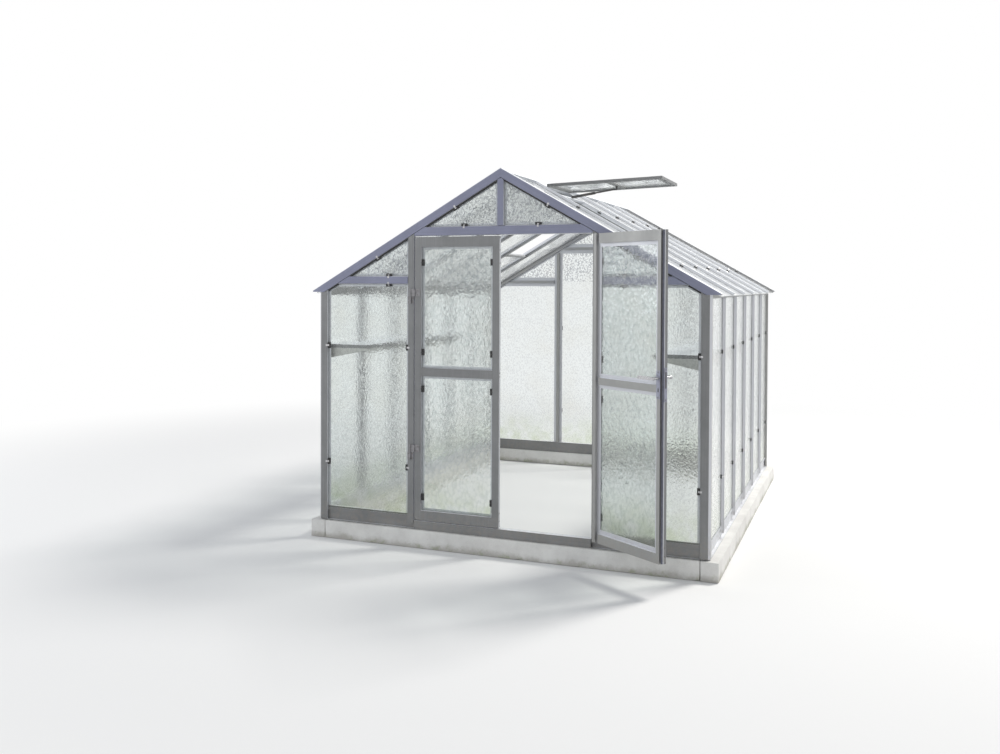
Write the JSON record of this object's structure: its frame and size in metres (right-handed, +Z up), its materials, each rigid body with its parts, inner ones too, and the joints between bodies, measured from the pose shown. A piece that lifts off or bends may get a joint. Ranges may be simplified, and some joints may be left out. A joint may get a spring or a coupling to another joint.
{
  "type": "glass greenhouse",
  "caption": "Gable greenhouse of hollow aluminium glazing bars and obscured glass on a concrete kerb, with hinged double doors, roof vents propped open and shelves inside.",
  "frame": {"origin": "on the underside of the front kerb, midway between the doors, at the front face of the frame", "axes": "+Z up, +Y from the front gable to the rear gable, +X to the right seen from outside the doors"},
  "size_m": [2.636, 3.5123, 2.36],
  "materials": {
    "aluminium": "mill finish, dull, lightly weathered",
    "glass": "obscured, small rounded pattern on the inner face",
    "hinge_steel": "zinc plated, dulled",
    "lever_metal": "satin",
    "concrete": "cast concrete, fine pits, pale"
  },
  "bodies": {
    "house": {"corner_posts": "aluminium", "door_posts": "aluminium", "king_posts": "aluminium", "rear_posts": "aluminium", "gable_rafters": "aluminium", "front_header": "aluminium", "rear_header": "aluminium", "transoms": "aluminium", "left_mullions": "aluminium", "right_mullions": "aluminium", "left_rafters": "aluminium", "right_rafters": "aluminium", "eave_rails": "aluminium", "ridge_beam": "aluminium", "front_base_rails": "aluminium", "side_base_rails": "aluminium", "rear_base_rail": "aluminium", "door_sill": "aluminium", "left_vent_frame": "aluminium", "right_vent_frame": "aluminium", "vent_rails": "aluminium", "left_shelf": "aluminium", "right_shelf": "aluminium", "shelf_brackets": "aluminium", "front_glass": "glass", "rear_glass": "glass", "left_wall_glass": "glass", "right_wall_glass": "glass", "left_roof_glass": "glass", "right_roof_glass": "glass", "vent_glass": "glass", "post_hinges": "hinge_steel", "vent_stays": "hinge_steel", "front_kerb": "concrete", "side_kerbs": "concrete", "rear_kerb": "concrete"},
    "left_door": {"left_door_frame": "aluminium", "left_door_glass": "glass", "left_door_hinges": "hinge_steel"},
    "right_door": {"right_door_frame": "aluminium", "right_door_glass": "glass", "right_door_hinges": "hinge_steel", "right_door_lock": "hinge_steel"},
    "door_lever": {"right_door_levers": "lever_metal"}
  },
  "joints": [
    {"name": "left_door_hinge", "type": "hinge", "parent": "house", "child": "left_door", "pos_m": [-0.5995, -0.008, 1], "axis": [0, 0, -1], "range_deg": [0, 160]},
    {"name": "right_door_hinge", "type": "hinge", "parent": "house", "child": "right_door", "pos_m": [0.5995, -0.008, 1], "axis": [0, 0, 1], "range_deg": [-146, 14]},
    {"name": "lever_turn", "type": "hinge", "parent": "right_door", "child": "door_lever", "pos_m": [1.0749, -0.3287, 1.163], "axis": [-0.5592, -0.829, 0], "range_deg": [0, 40], "stiffness_Nm_per_rad": 1.2}
  ]
}
